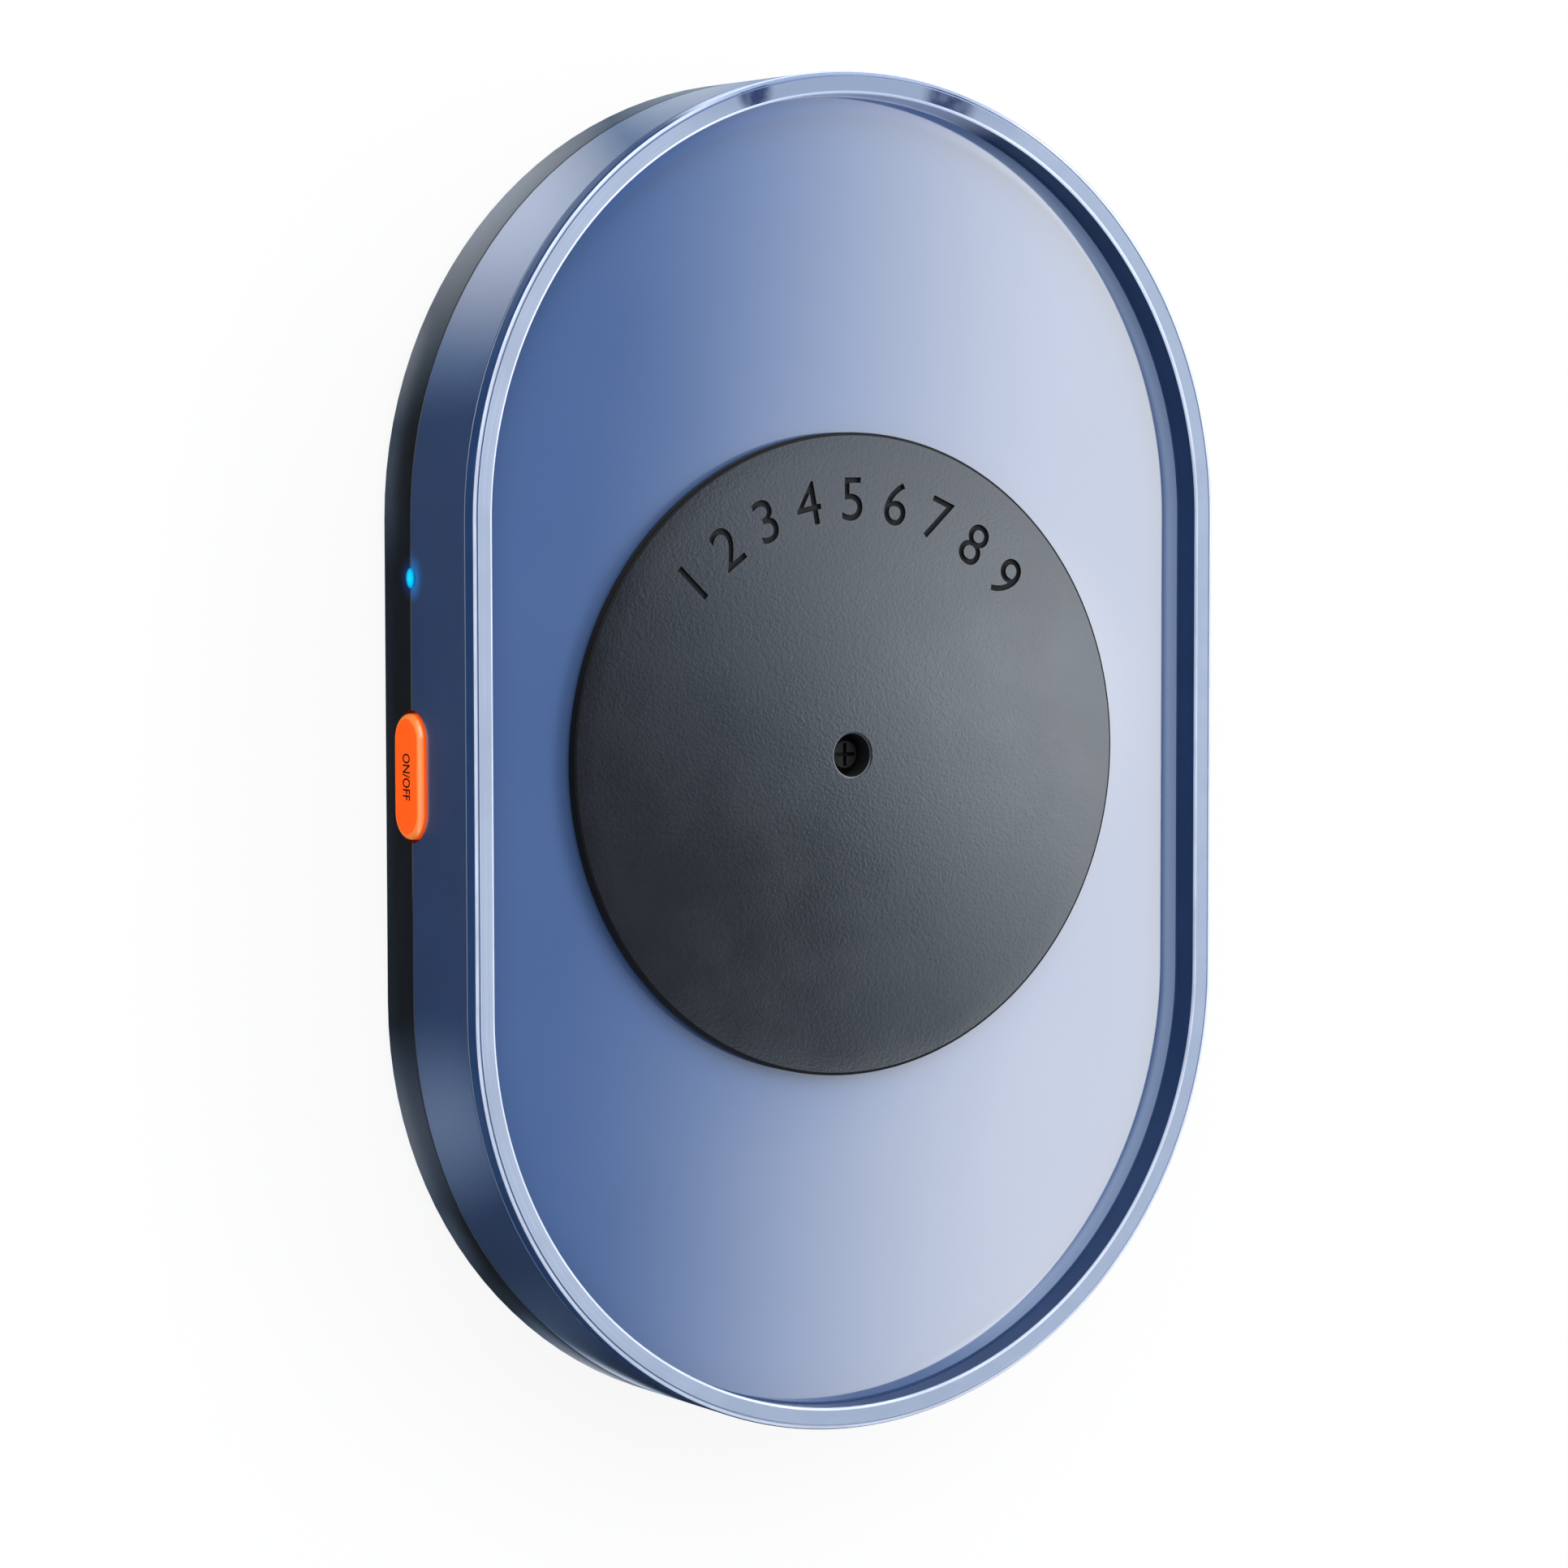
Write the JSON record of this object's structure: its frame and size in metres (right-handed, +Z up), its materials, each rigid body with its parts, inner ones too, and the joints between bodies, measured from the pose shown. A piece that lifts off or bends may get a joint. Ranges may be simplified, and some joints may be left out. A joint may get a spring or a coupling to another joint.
{
  "type": "mouse jiggler",
  "caption": "Flat stadium-shaped tray with a raised rim, a slowly turning dark disc under the mouse, an orange press button and a status light on one long side.",
  "frame": {"origin": "on the surface the rubber feet stand on, under the middle of the body and the disc's axis", "axes": "+Z up through the disc, +Y along the length towards the power socket, the press button and status light on the -X side"},
  "size_m": [0.0852, 0.13, 0.0184],
  "materials": {
    "black_shell": "satin black moulding",
    "blue_satin": "satin metallic blue paint",
    "blue_gloss": "glossy metallic blue under clear coat",
    "foot_rubber": "matt",
    "screw_steel": "blackened steel",
    "bright_steel": "ground steel",
    "plate_steel": "zinc-plated steel",
    "bush_acetal": "natural acetal",
    "gear_acetal": "natural acetal",
    "brass_pinion": "machined",
    "dark_moulding": "black moulding",
    "pale_moulding": "natural moulding",
    "board_laminate": "green solder mask",
    "capacitor_sleeve": "shrink sleeve",
    "disc_graphite": "fine-textured graphite",
    "button_orange": "satin orange moulding",
    "light_window": "lit cyan light pipe"
  },
  "bodies": {
    "case": {"base_cover": "black_shell", "side_band": "blue_satin", "tray_cover": "blue_gloss", "rubber_feet": "foot_rubber", "case_screws": "screw_steel", "tray_bush": "bush_acetal", "thrust_washer": "bush_acetal", "gear_pin": "bright_steel", "gear_plate": "plate_steel", "gear_plate_screws": "screw_steel", "motor_can": "plate_steel", "motor_end_bell": "dark_moulding", "motor_flange": "plate_steel", "motor_screws": "screw_steel", "circuit_board": "board_laminate", "board_screws": "screw_steel", "power_socket": "bright_steel", "socket_tongue": "dark_moulding", "tact_switch": "dark_moulding", "light_pipe": "light_window", "status_led": "pale_moulding", "control_chip": "dark_moulding", "capacitor": "capacitor_sleeve", "motor_connector": "pale_moulding", "board_passives": "dark_moulding"},
    "disc": {"turntable": "disc_graphite", "disc_screw": "screw_steel", "output_shaft": "bright_steel", "output_gear": "gear_acetal"},
    "idler": {"reduction_gear": "gear_acetal"},
    "rotor": {"motor_shaft": "bright_steel", "motor_pinion": "brass_pinion"},
    "key": {"power_button": "button_orange", "switch_plunger": "dark_moulding"}
  },
  "joints": [
    {"name": "disc_spin", "type": "hinge", "parent": "case", "child": "disc", "pos_m": [0, 0, 0.0155], "axis": [0, 0, 1], "continuous": true},
    {"name": "idler_spin", "type": "hinge", "parent": "case", "child": "idler", "pos_m": [0, -0.0156, 0.009], "axis": [0, 0, 1], "continuous": true},
    {"name": "motor_spin", "type": "hinge", "parent": "case", "child": "rotor", "pos_m": [0, -0.03, 0.01], "axis": [0, 0, 1], "continuous": true},
    {"name": "button_press", "type": "slide", "parent": "case", "child": "key", "axis": [1, 0, 0], "range_m": [0, 0.0005], "stiffness_N_per_m": 2000, "springref_m": -0.0002}
  ],
  "couplings": [
    {"joint": "idler_spin", "follows": "disc_spin", "ratio": -3.3333},
    {"joint": "motor_spin", "follows": "disc_spin", "ratio": 10}
  ]
}
